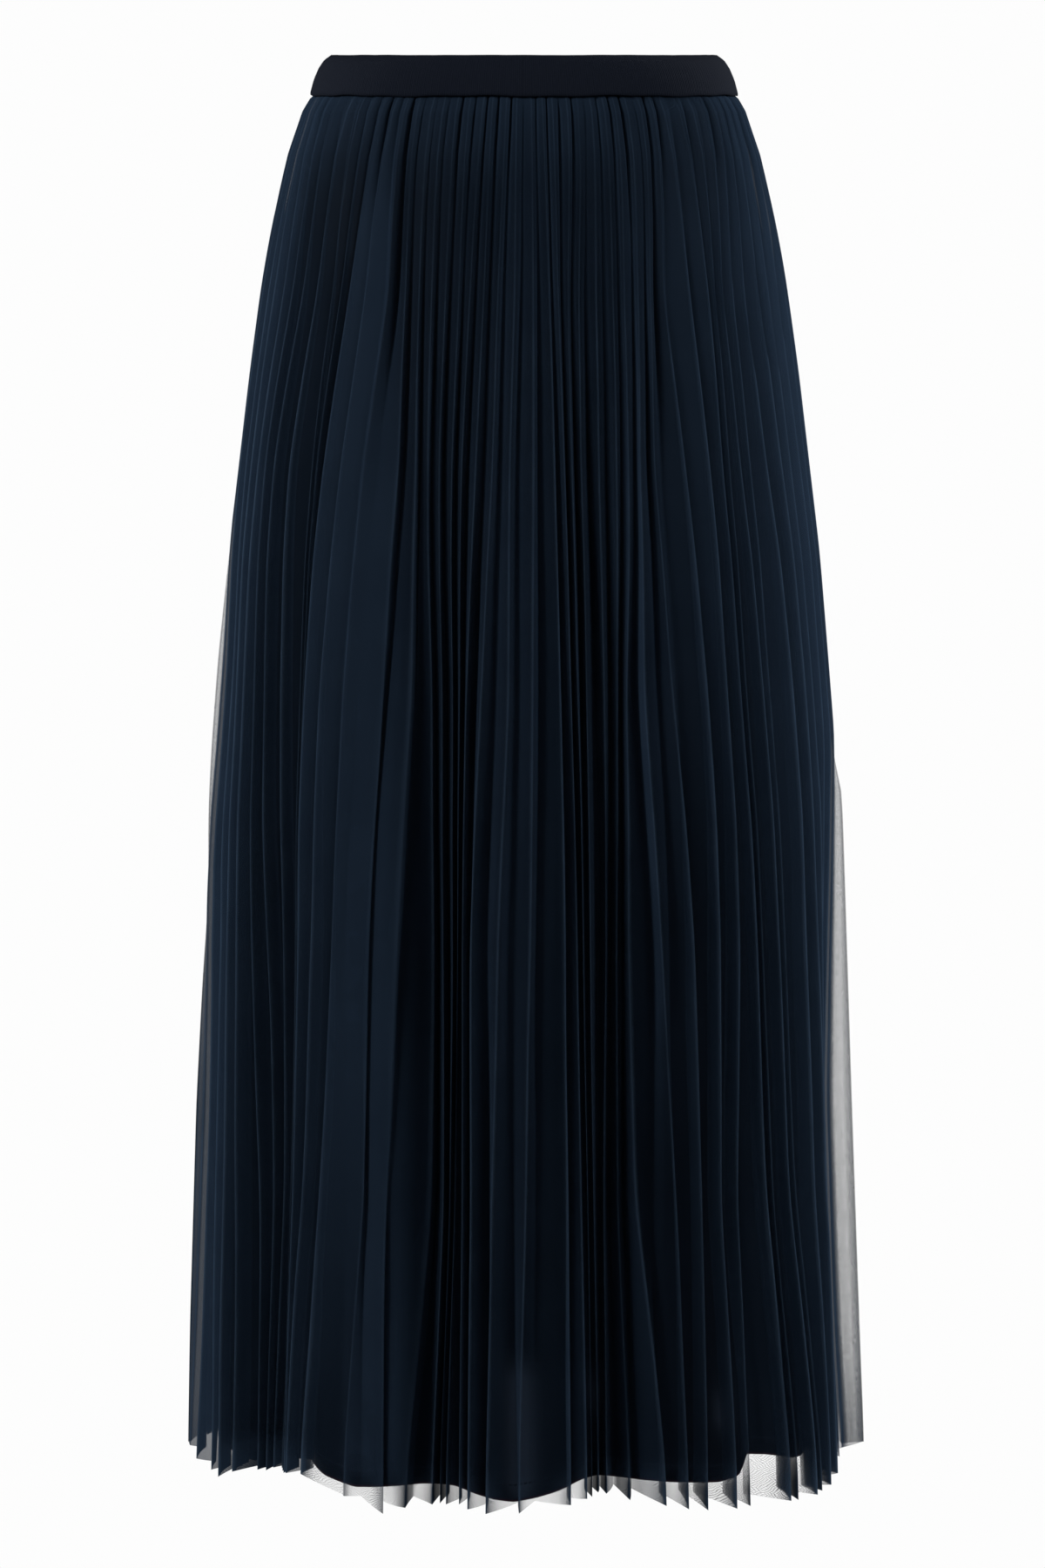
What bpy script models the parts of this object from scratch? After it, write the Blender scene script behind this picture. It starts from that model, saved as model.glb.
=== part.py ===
"""Pleated maxi skirt: an outer skirt of fine pleated net over a plain lining, on a knitted elastic waistband.

Metres, +Z up. The front faces -Y and the wearer's left is +X. The origin is the middle of the
waistband's height on the centre line, where a waist holds the skirt. Heights are given as drops below
the waistband's top edge.
"""

import math
import random
from collections import namedtuple

import bmesh
import bpy
import numpy as np

BAND_HEIGHT = 0.0268
BAND_WALL = 0.0020
BAND_STEPS = 76  # round the ring
CLOTH_WALL = 0.0010
SEAM_GAP = 0.0003
SEAM_TAB = 0.0016  # the flat strip beside each side seam

PLEATS = 44  # in each of the two net panels
LEAN = 0.22  # how far a valley sits towards the middle of the panel, as a share of the pitch
JITTER = 0.10  # unevenness of the creases between two listed folds, as a share of their pitch
SHALLOWEST = 0.16  # depth of a pleat that is pulled open, as a share of its cloth's width
DEEPEST = 0.86  # and of one that is pressed shut
SINK = 0.35  # how much of the depth that an open pleat loses is taken from its outer creases
HEM_TIP = 0.9410  # drop of the net hem at the outer creases
HEM_NOTCH = 0.9300  # and at the inner ones

LINING_STEPS = 48  # round each half of the lining
LINING_TOP = 0.0190  # drop of the lining's upper edge, inside the waistband
LINING_DRAPE = 1.15  # how much deeper than the net the lining falls into each drape

# The skirt's outer shape: half_width to each side and the depths to the front and the back. face is the
# width of net between two creases, and slack the room between the deepest pleats and the lining.
Section = namedtuple("Section", "drop half_width front_depth back_depth face slack")
SECTIONS = (
    Section(0.0275, 0.1420, 0.0955, 0.1025, 0.0046, 0.0024),
    Section(0.0288, 0.1422, 0.0957, 0.1027, 0.0048, 0.0024),
    Section(0.0370, 0.1495, 0.1010, 0.1085, 0.0064, 0.0028),
    Section(0.0660, 0.1595, 0.1095, 0.1185, 0.0078, 0.0030),
    Section(0.1100, 0.1690, 0.1180, 0.1300, 0.0090, 0.0032),
    Section(0.1540, 0.1765, 0.1260, 0.1400, 0.0100, 0.0034),
    Section(0.2100, 0.1838, 0.1350, 0.1500, 0.0110, 0.0036),
    Section(0.3300, 0.1975, 0.1500, 0.1630, 0.0126, 0.0038),
    Section(0.5040, 0.2118, 0.1660, 0.1760, 0.0145, 0.0040),
    Section(0.7080, 0.2195, 0.1790, 0.1860, 0.0162, 0.0042),
    Section(0.9400, 0.2270, 0.1900, 0.1950, 0.0175, 0.0044),
)

# Long drapes, where the whole cloth falls inwards between two fuller stretches: the middle of each and its
# half spread in degrees, and its depth at the hem. They start at DRAPE_TOP and are full at DRAPE_FULL.
Drape = namedtuple("Drape", "degrees spread depth")
DRAPE_TOP = 0.12
DRAPE_FULL = 0.80
FRONT_DRAPES = (
    Drape(-53.0, 9.0, 0.012),
    Drape(-15.5, 7.0, 0.015),
    Drape(14.3, 6.5, 0.014),
)
BACK_DRAPES = (
    Drape(-41.0, 9.0, 0.013),
    Drape(-3.0, 8.0, 0.016),
    Drape(33.0, 8.0, 0.014),
    Drape(62.0, 9.0, 0.010),
)

# Where the main outer creases lie, in degrees round from the middle of their panel, at five drops.
# pleat counts the creases from the panel's -X side. Those between two rows share out the space evenly.
Fold = namedtuple("Fold", "pleat waist hip thigh knee hem")
FOLD_DROPS = Fold(None, 0.037, 0.154, 0.416, 0.580, 0.918)
FRONT_FOLDS = (
    Fold(5, -63.8, -59.9, -60.3, -58.4, -55.2),
    Fold(8, -47.7, -45.4, -48.6, -48.5, -49.5),
    Fold(10, -39.4, -40.5, -45.5, -44.8, -47.5),
    Fold(12, -32.3, -30.3, -35.3, -36.0, -40.8),
    Fold(14, -24.5, -22.8, -21.4, -22.9, -24.1),
    Fold(16, -17.6, -16.9, -16.0, -15.8, -17.0),
    Fold(18, -10.6, -11.6, -12.4, -12.7, -14.5),
    Fold(20, -4.6, -5.6, -7.9, -9.8, -9.7),
    Fold(21, -2.0, -2.0, -2.8, -4.6, -6.3),
    Fold(22, 1.8, 2.0, 1.6, 1.2, -0.9),
    Fold(23, 4.6, 5.4, 6.8, 7.3, 7.8),
    Fold(24, 7.3, 7.2, 8.7, 9.6, 11.0),
    Fold(26, 14.0, 11.6, 11.8, 12.5, 13.5),
    Fold(27, 17.6, 15.4, 15.6, 15.8, 15.1),
    Fold(29, 24.0, 21.6, 19.9, 20.0, 24.4),
    Fold(30, 27.4, 24.9, 22.8, 25.0, 28.2),
    Fold(31, 31.5, 27.8, 28.3, 31.4, 32.1),
    Fold(32, 35.2, 31.0, 36.1, 37.0, 37.9),
    Fold(33, 38.5, 38.3, 40.6, 41.2, 41.3),
    Fold(34, 44.2, 43.3, 43.7, 45.3, 51.4),
    Fold(36, 54.5, 47.6, 49.9, 51.4, 58.8),
    Fold(38, 63.3, 54.9, 60.7, 60.9, 63.6),
)
BACK_FOLDS = (
    Fold(4, -66.0, -64.5, -62.5, -61.0, -60.0),
    Fold(8, -48.0, -45.5, -47.0, -49.0, -50.0),
    Fold(11, -37.0, -34.0, -33.0, -32.5, -35.5),
    Fold(14, -25.0, -24.5, -25.5, -26.5, -24.0),
    Fold(17, -15.5, -14.5, -15.5, -17.0, -18.0),
    Fold(20, -5.5, -5.0, -6.5, -8.5, -10.0),
    Fold(22, 2.0, 2.5, 1.5, 0.0, -1.5),
    Fold(25, 11.5, 11.0, 10.5, 9.0, 10.0),
    Fold(28, 21.5, 20.0, 18.0, 17.5, 19.0),
    Fold(31, 32.0, 30.0, 30.0, 31.5, 31.0),
    Fold(34, 43.0, 42.0, 41.0, 40.5, 43.0),
    Fold(38, 61.0, 59.0, 60.0, 61.5, 64.0),
)

# Drop of the lining's hem at each side and between, from the -X side round to the +X side.
Hem = namedtuple("Hem", "degrees front back")
LINING_HEM = (
    Hem(-90, 0.928, 0.928),
    Hem(-40, 0.929, 0.924),
    Hem(-5, 0.935, 0.927),
    Hem(28, 0.924, 0.930),
    Hem(48, 0.922, 0.925),
    Hem(56, 0.914, 0.919),
    Hem(90, 0.912, 0.912),
)

# The waistband's outer face. It rolls in at its top edge.
Ring = namedtuple("Ring", "drop half_width front_depth back_depth")
BAND_RINGS = (
    Ring(0.0000, 0.1325, 0.0865, 0.0935),
    Ring(0.0034, 0.1364, 0.0904, 0.0974),
    Ring(0.0085, 0.1388, 0.0928, 0.0998),
    Ring(0.0165, 0.1412, 0.0952, 0.1022),
    Ring(BAND_HEIGHT, 0.1426, 0.0966, 0.1036),
)

NAVY_NET = (0.0060, 0.0095, 0.0160, 1.0)
NAVY_LINING = (0.0035, 0.0056, 0.0100, 1.0)
NAVY_BAND = (0.0072, 0.0085, 0.0128, 1.0)


def height(drop):
    return BAND_HEIGHT / 2 - drop


def clear_scene():
    for obj in list(bpy.data.objects):
        bpy.data.objects.remove(obj, do_unlink=True)


def cloth_material(name, colour, roughness):
    material = bpy.data.materials.new(name)
    material.use_nodes = True
    shader = material.node_tree.nodes["Principled BSDF"]
    shader.inputs["Base Color"].default_value = colour
    shader.inputs["Roughness"].default_value = roughness
    shader.inputs["Metallic"].default_value = 0.0
    return material


def loft(rings, closed):
    """An open surface through rings of equal length, listed from top to bottom, facing outwards."""
    surface = bmesh.new()
    rows = [[surface.verts.new(point) for point in ring] for ring in rings]
    count = len(rings[0])
    for upper, lower in zip(rows, rows[1:]):
        for i in range(count if closed else count - 1):
            j = (i + 1) % count
            surface.faces.new((upper[i], lower[i], lower[j], upper[j]))
    return surface


def add_cloth(name, rings, closed, wall, offset, material, collection, smooth):
    """A cloth wall of even thickness on the surface through these rings."""
    mesh = bpy.data.meshes.new(name)
    surface = loft(rings, closed)
    surface.to_mesh(mesh)
    surface.free()
    mesh.materials.append(material)
    if smooth:
        mesh.shade_smooth()
    cloth = bpy.data.objects.new(name, mesh)
    collection.objects.link(cloth)
    shell = cloth.modifiers.new("Cloth wall", "SOLIDIFY")
    shell.thickness = wall
    shell.offset = offset
    shell.use_even_offset = True
    return cloth


def on_ellipse(half_width, depth, angle, side, z):
    """A point of the front (side -1) or back (side 1), at angle radians round from its middle."""
    return (half_width * math.sin(angle), side * depth * math.cos(angle), z)


def drape_depth(drop, side, angle):
    """How far the long drapes pull the cloth in here."""
    share = min(max((drop - DRAPE_TOP) / (DRAPE_FULL - DRAPE_TOP), 0.0), 1.0)
    degrees = math.degrees(angle)
    pull = sum(
        row.depth * math.exp(-(((degrees - row.degrees) / row.spread) ** 2))
        for row in (FRONT_DRAPES if side < 0 else BACK_DRAPES)
    )
    return pull * share * share * (3 - 2 * share)


def skirt_point(section, side, angle, inset, drop, draped=1.0):
    """A point inset from the skirt's draped outer shape, square to it."""
    depth = section.front_depth if side < 0 else section.back_depth
    nearby = []
    for turn in (angle - 0.01, angle, angle + 0.01):
        pull = draped * drape_depth(section.drop, side, turn)
        nearby.append(on_ellipse(section.half_width - pull, depth - pull, turn, side, 0.0))
    along = np.subtract(nearby[2], nearby[0])
    outwards = np.array((-along[1], along[0])) * side
    x, y = np.array(nearby[1][:2]) - outwards * inset / np.linalg.norm(outwards)
    return (x, y, height(drop))


def crease_offsets(seed):
    """Small steady shifts of the creases along their panel, as shares of the pitch."""
    draw = random.Random(seed)
    return np.array([draw.uniform(-JITTER, JITTER) for _ in range(PLEATS)])


def crease_angles(folds, drop, offsets):
    """Angles of a panel's outer creases at this drop, in radians."""
    listed = [np.interp(drop, FOLD_DROPS[1:], fold[1:]) for fold in folds]
    pleats = [-0.5] + [fold.pleat for fold in folds] + [PLEATS - 0.5]
    angles = [-90.0] + listed + [90.0]
    creases = np.interp(np.arange(PLEATS), pleats, angles)
    free = np.array([pleat not in pleats for pleat in range(PLEATS)])
    return np.radians(creases + free * offsets * np.gradient(creases))


def pleat_depth(section, pitch):
    """How deep the cloth folds in between two creases this far apart."""
    open_depth = math.sqrt(max(0.0, section.face**2 - (pitch / 2) ** 2))
    return min(max(open_depth, SHALLOWEST * section.face), DEEPEST * section.face)


def net_ring(section, folds, side, offsets, hem):
    """One zigzag section of a net panel, from its -X seam to its +X seam."""
    skin = CLOTH_WALL / 2
    tip, notch = (HEM_TIP, HEM_NOTCH) if hem else (section.drop, section.drop)
    creases = crease_angles(folds, section.drop, offsets)
    outer = [skirt_point(section, side, crease, skin, tip) for crease in creases]
    depths = [pleat_depth(section, math.dist(start, end)) for start, end in zip(outer, outer[1:])]
    seam_depth = 0.5 * section.face
    around = [seam_depth] + depths + [seam_depth]
    sunk = [
        SINK * max(0.0, DEEPEST * section.face - (left + right) / 2)
        for left, right in zip(around, around[1:])
    ]
    ring = []
    for i, crease in enumerate(creases):
        ring.append(skirt_point(section, side, crease, skin + sunk[i], tip))
        if i + 1 < PLEATS:
            step = creases[i + 1] - crease
            middle = crease + step / 2
            valley = middle - step * LEAN * math.tanh(3 * middle)
            inset = min((sunk[i] + sunk[i + 1]) / 2 + depths[i], DEEPEST * section.face)
            ring.append(skirt_point(section, side, valley, skin + inset, notch))
    seam_x = section.half_width - skin - seam_depth
    seams = []
    for x in (-seam_x, seam_x):
        edge = (x, side * SEAM_GAP / 2, height(notch))
        inner = (x, side * (SEAM_TAB + SEAM_GAP / 2), height(notch))
        seams.append((edge, inner))
    ring = [*seams[0], *ring, *seams[1][::-1]]
    return ring if side < 0 else ring[::-1]


def net_panel(name, folds, side, seed, material, collection):
    """Half of the pleated net skirt, with flat strips at its side seams."""
    offsets = crease_offsets(seed)
    last = SECTIONS[-1]
    rings = [net_ring(section, folds, side, offsets, section is last) for section in SECTIONS]
    return add_cloth(name, rings, False, CLOTH_WALL, 0.0, material, collection, False)


def half_turn(depth):
    """Angles along half of a ring, which stops just short of its side seams."""
    end = math.pi / 2 - math.asin(SEAM_GAP / 2 / depth)
    return np.linspace(-end, end, LINING_STEPS + 1)


def lining_tuck(side):
    """The lining's upper edge, sewn inside the waistband."""
    room = BAND_WALL + SEAM_GAP + CLOTH_WALL / 2
    drops = [ring.drop for ring in BAND_RINGS]
    half_width = np.interp(LINING_TOP, drops, [ring.half_width for ring in BAND_RINGS]) - room
    depths = [ring.front_depth if side < 0 else ring.back_depth for ring in BAND_RINGS]
    depth = np.interp(LINING_TOP, drops, depths) - room
    return [
        on_ellipse(half_width, depth, angle, side, height(LINING_TOP)) for angle in half_turn(depth)
    ]


def lining_ring(section, side, hem):
    """One section of the lining, inside the deepest pleats, from its -X seam to its +X seam."""
    inset = CLOTH_WALL / 2 + DEEPEST * section.face + section.slack
    depth = section.front_depth if side < 0 else section.back_depth
    level = [row.front if side < 0 else row.back for row in LINING_HEM]
    ring = []
    for angle in half_turn(depth - inset):
        drop = section.drop
        if hem:
            drop = np.interp(math.degrees(angle), [row.degrees for row in LINING_HEM], level)
        ring.append(skirt_point(section, side, angle, inset, drop, LINING_DRAPE))
    return ring


def lining_panel(name, side, material, collection):
    """Half of the lining, tucked inside the waistband at its top."""
    last = SECTIONS[-1]
    rings = [lining_tuck(side)]
    rings += [lining_ring(section, side, section is last) for section in SECTIONS[1:]]
    if side > 0:
        rings = [ring[::-1] for ring in rings]
    return add_cloth(name, rings, False, CLOTH_WALL, 0.0, material, collection, True)


def waistband(name, material, collection):
    """The elastic ring, which bends in to a rounded top edge."""
    rings = []
    for ring in BAND_RINGS:
        points = []
        for step in range(BAND_STEPS):
            turn = 2 * math.pi * step / BAND_STEPS
            depth = ring.front_depth if math.cos(turn) > 0 else ring.back_depth
            points.append(on_ellipse(ring.half_width, depth, turn, -1, height(ring.drop)))
        rings.append(points)
    return add_cloth(name, rings, True, BAND_WALL, -1.0, material, collection, True)


def main():
    clear_scene()
    skirt = bpy.data.collections.new("pleated_maxi_skirt")
    bpy.context.scene.collection.children.link(skirt)
    net = cloth_material("navy net", NAVY_NET, 0.75)
    lining = cloth_material("navy lining", NAVY_LINING, 0.55)
    band = cloth_material("navy elastic", NAVY_BAND, 0.80)
    waistband("waistband", band, skirt)
    net_panel("net_front", FRONT_FOLDS, -1, 11, net, skirt)
    net_panel("net_back", BACK_FOLDS, 1, 12, net, skirt)
    lining_panel("lining_front", -1, lining, skirt)
    lining_panel("lining_back", 1, lining, skirt)


main()
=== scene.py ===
"""The looks of the pleated maxi skirt: see-through pleated net over a satin lining, on an elastic band.

Metres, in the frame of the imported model. The front faces -Y and the wearer's left is +X. Heights are given
as drops below the waistband's top edge. Angles go round from the middle of the front or the back, and are
positive towards +X on both. side is -1 for the front panels and 1 for the back ones.
"""

import math
import random
from collections import namedtuple

import bpy
import numpy as np
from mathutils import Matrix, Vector


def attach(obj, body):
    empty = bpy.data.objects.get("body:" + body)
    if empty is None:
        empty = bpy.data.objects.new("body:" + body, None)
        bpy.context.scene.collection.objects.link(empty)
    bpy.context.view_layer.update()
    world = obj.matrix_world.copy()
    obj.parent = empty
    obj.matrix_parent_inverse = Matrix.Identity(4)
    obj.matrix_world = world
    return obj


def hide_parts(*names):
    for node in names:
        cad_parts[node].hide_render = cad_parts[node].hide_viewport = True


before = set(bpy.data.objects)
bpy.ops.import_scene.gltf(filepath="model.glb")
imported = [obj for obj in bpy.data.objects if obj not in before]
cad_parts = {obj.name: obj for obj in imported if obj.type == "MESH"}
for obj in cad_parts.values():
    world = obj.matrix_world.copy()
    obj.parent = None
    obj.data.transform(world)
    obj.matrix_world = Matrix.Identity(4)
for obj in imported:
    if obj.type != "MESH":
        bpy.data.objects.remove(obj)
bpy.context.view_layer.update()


def table(kind, *values):
    """Rows of these values, with the columns that kind names."""
    return tuple(kind(*row) for row in values)


# The solids have these sizes too.
BAND_HEIGHT = 0.0268
PLEATS = 44  # in each of the two net panels
SHALLOWEST = 0.16  # depth of a pleat that is pulled open, as a share of its face
DEEPEST = 0.86  # and of one that is pressed shut
SINK = 0.35  # how much of the depth that an open pleat loses is taken from its outer creases

# The skirt's outer shape: half_width to each side and the depths to the front and the back. face is the
# width of net between two creases, and slack the room between the deepest pleats and the lining.
Section = namedtuple("Section", "drop half_width front_depth back_depth face slack")
SECTIONS = table(
    Section,
    (0.0262, 0.1400, 0.0940, 0.1010, 0.0040, 0.0024),
    (0.0272, 0.1416, 0.0952, 0.1022, 0.0046, 0.0024),
    (0.0288, 0.1432, 0.0963, 0.1034, 0.0050, 0.0024),
    (0.0370, 0.1483, 0.1010, 0.1085, 0.0064, 0.0028),
    (0.0660, 0.1586, 0.1095, 0.1185, 0.0078, 0.0030),
    (0.1100, 0.1687, 0.1180, 0.1300, 0.0090, 0.0032),
    (0.1540, 0.1770, 0.1260, 0.1400, 0.0100, 0.0034),
    (0.2100, 0.1850, 0.1350, 0.1500, 0.0110, 0.0036),
    (0.3300, 0.1998, 0.1500, 0.1630, 0.0126, 0.0038),
    (0.5040, 0.2134, 0.1660, 0.1760, 0.0145, 0.0040),
    (0.7080, 0.2205, 0.1790, 0.1860, 0.0162, 0.0042),
    (0.9400, 0.2292, 0.1900, 0.1950, 0.0175, 0.0044),
)

PUFF_END = 0.05  # the shape is sharp down to here, where it puffs out below the band
PUFF_FADE = 0.06  # and over this much further its corners are rounded

# Long drapes, where the whole cloth falls inwards between two fuller stretches: the middle and half spread
# of each in degrees, and its depth at the hem.
Drape = namedtuple("Drape", "degrees spread depth")
DRAPE_RANGE = (0.12, 0.66)  # drops where they start and where they are full
DRAPE_POWER = 3.0  # how steep their sides are
FRONT_DRAPES = table(
    Drape,
    (-51.5, 5.8, 0.017),
    (-15.6, 5.6, 0.022),
    (16.0, 6.2, 0.021),
)
BACK_DRAPES = table(
    Drape,
    (-41.0, 8.5, 0.015),
    (-3.0, 7.0, 0.019),
    (33.0, 7.5, 0.017),
    (62.0, 8.5, 0.012),
)

# Beyond the start of each flank the pleats lie flat against the lining, and one fold of two plies stands
# out to the full width. left and right are how far it does on the two sides, as seen from the front. The
# covers are the share of the view that its threads close.
Flank = namedtuple("Flank", "drop left right left_cover right_cover")
SIDES = ((-1, "left"), (1, "right"))
FLANK_START = 64.0
FLANK_FULL = 76.0
FLANK_PLIES = 1.8  # how many plies more lie on each other there
FLANK_PLY_RANGE = (58.0, 70.0)  # degrees over which they grow more
FLANKS = table(
    Flank,
    (0.10, 0.0000, 0.0000, 0.50, 0.37),
    (0.26, 0.0010, 0.0000, 0.40, 0.37),
    (0.40, 0.0045, 0.0005, 0.40, 0.37),
    (0.46, 0.0045, 0.0020, 0.42, 0.37),
    (0.50, 0.0038, 0.0060, 0.52, 0.37),
    (0.56, 0.0025, 0.0090, 0.66, 0.37),
    (0.62, 0.0040, 0.0125, 0.76, 0.37),
    (0.70, 0.0050, 0.0165, 0.84, 0.37),
    (0.85, 0.0045, 0.0165, 0.88, 0.45),
    (0.94, 0.0035, 0.0145, 0.90, 0.62),
)

# Stretches between two outer creases where the pleats are pressed flat on each other and not standing: how
# much so near the waist, at the seat, at the knee and near the hem.
Stretch = namedtuple("Stretch", "first last hip seat knee hem")
STRETCH_DROPS = (0.130, 0.300, 0.620, 0.900)
FRONT_STRETCHES = table(
    Stretch,
    (0, 3, 0.10, 0.10, 0.30, 0.40),
    (3, 5, 0.00, -0.05, -0.20, -0.25),
    (5, 8, -0.10, -0.13, -0.28, -0.30),
    (8, 10, -0.10, -0.35, -0.28, -0.30),
    (10, 11, 1.00, 0.75, 0.10, 0.05),
    (11, 12, 1.00, 0.95, 0.35, 0.15),
    (12, 13, -0.05, 0.75, 0.90, 0.00),
    (13, 14, -0.05, -0.10, 1.00, 0.85),
    (14, 15, -0.10, -0.10, -0.05, 0.85),
    (15, 20, -0.10, -0.09, -0.06, -0.05),
    (20, 22, 0.15, 0.13, 0.02, 0.00),
    (22, 23, 0.05, 0.02, -0.13, -0.15),
    (23, 24, 0.20, 0.20, 0.20, 0.20),
    (24, 29, -0.05, -0.08, -0.13, -0.20),
    (29, 32, 0.35, 0.27, -0.20, -0.35),
    (32, 34, 0.60, 0.55, -0.05, -0.20),
    (34, 36, 0.60, 0.45, 0.00, -0.15),
    (36, 39, 0.75, 0.50, 0.10, 0.10),
    (39, 43, 0.75, 0.70, 0.40, 0.40),
)
BACK_STRETCHES = table(
    Stretch,
    (0, 4, 0.30, 0.30, 0.30, 0.30),
    (4, 8, 0.10, 0.08, 0.01, 0.00),
    (8, 14, 0.80, 0.82, 0.89, 0.90),
    (14, 17, 0.10, 0.08, 0.01, 0.00),
    (17, 25, 0.40, 0.38, 0.31, 0.30),
    (25, 28, 0.05, 0.04, 0.01, 0.00),
    (28, 34, 0.80, 0.77, 0.62, 0.60),
    (34, 43, 0.20, 0.22, 0.33, 0.35),
)
FLAT_DEPTH = 0.78  # how much of their depth the flattest pleats lose
FLAT_LAY = 0.35  # and how much further they are laid over
FLAT_PLIES = 2.2  # and how many plies more they are
FLAT_HIGHLIGHT_AND_COVER = 0.8  # and how much fainter the painted highlight and extra cover of their pressed edges are
FLAT_FADE = (0.02, 0.12)  # drops over which this takes effect

# Under the band the net is softly gathered. Most gathers are shallow and uneven, and a few narrow pinches
# are deep: the middle and spread of each in degrees, and the drop where it ends.
Pinch = namedtuple("Pinch", "degrees spread end")
FRONT_PINCHES = table(
    Pinch,
    (-68.0, 2.0, 0.10),
    (-53.6, 1.8, 0.12),
    (-38.2, 1.8, 0.16),
    (-30.0, 1.3, 0.10),
    (-11.0, 1.8, 0.14),
    (-3.7, 1.2, 0.09),
    (10.1, 1.5, 0.12),
    (25.0, 1.7, 0.15),
    (39.0, 2.0, 0.13),
    (55.0, 1.6, 0.09),
    (72.0, 2.0, 0.12),
)
BACK_PINCHES = table(
    Pinch,
    (-71.0, 2.0, 0.12),
    (-49.0, 1.7, 0.10),
    (-33.5, 1.9, 0.15),
    (-19.0, 1.4, 0.09),
    (-8.5, 1.6, 0.12),
    (6.0, 1.3, 0.14),
    (17.5, 1.8, 0.10),
    (36.0, 1.9, 0.13),
    (47.0, 1.4, 0.09),
    (66.0, 2.0, 0.14),
)
PINCH_STRENGTH = 1.3
PINCH_HOLD = 0.5  # share of the way to its end down to which a pinch is at its deepest
GATHER_SHALLOWEST = 0.16  # depth of the shallowest gather, as a share of a pinch's
GATHER_SPAN = 0.8  # and how much more the deepest has
GATHER_BIAS = 1.6  # how much more of them are shallow than deep
GATHER_SHIFT = 0.30  # how far a gather may lie off its even place, as a share of the way to the next
SHIFT_FADE = (0.03, 0.20)  # drops over which that ends
GATHER_SWELL = 0.35  # how much fuller the gathers are than pleats
GATHER_SWING = 0.5  # and how unevenly so
GATHER_WAVE = 0.5
GATHER_FADE = (0.05, 0.22)  # drops over which the gathers turn to pleats
GATHER_POWER = 4.5  # how flat the tops of the gathers are
GATHER_PLIES = 1.2  # how many plies more lie on each other where the net is gathered at the band
GATHER_END = 0.10  # drop where that ends
GATHER_SEED = 50  # between the random numbers of the pleats and those of the gathers

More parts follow.
